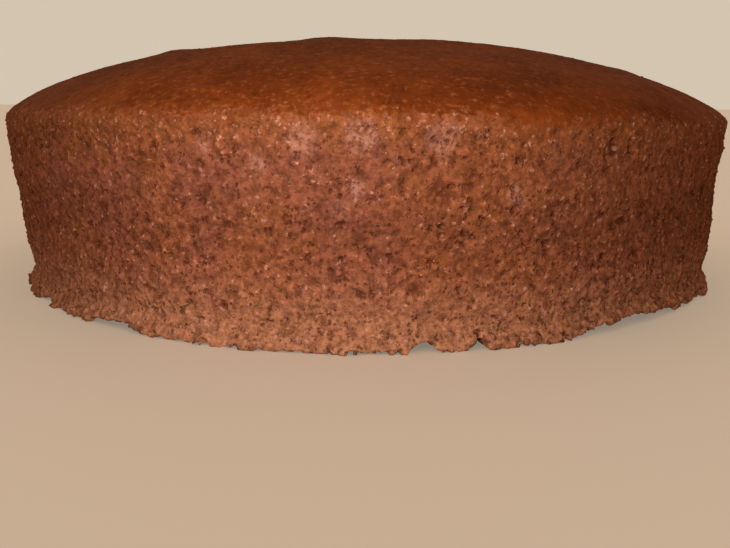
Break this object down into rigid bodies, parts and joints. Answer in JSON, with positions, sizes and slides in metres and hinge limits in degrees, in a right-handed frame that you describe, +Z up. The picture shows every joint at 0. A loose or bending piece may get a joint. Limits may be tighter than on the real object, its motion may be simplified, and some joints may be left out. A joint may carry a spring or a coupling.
{
  "type": "chocolate sponge cake",
  "caption": "Plain round chocolate sponge cake, uncut: a domed crust top on open crumb sides that narrow to a waist above a ragged foot, as the base for a layered gateau.",
  "frame": {"origin": "middle of the flat base, on the surface the cake stands on", "axes": "+Z up through the crown of the dome, front of the picture towards -Y, +X to the right"},
  "size_m": [0.2391, 0.2384, 0.0785],
  "materials": {
    "crumb": "matt, open, dry chocolate crumb full of small pits",
    "crust": "smooth baked skin with fine pores and a faint sheen"
  },
  "bodies": {
    "root": {"sponge": "crumb"}
  },
  "joints": []
}
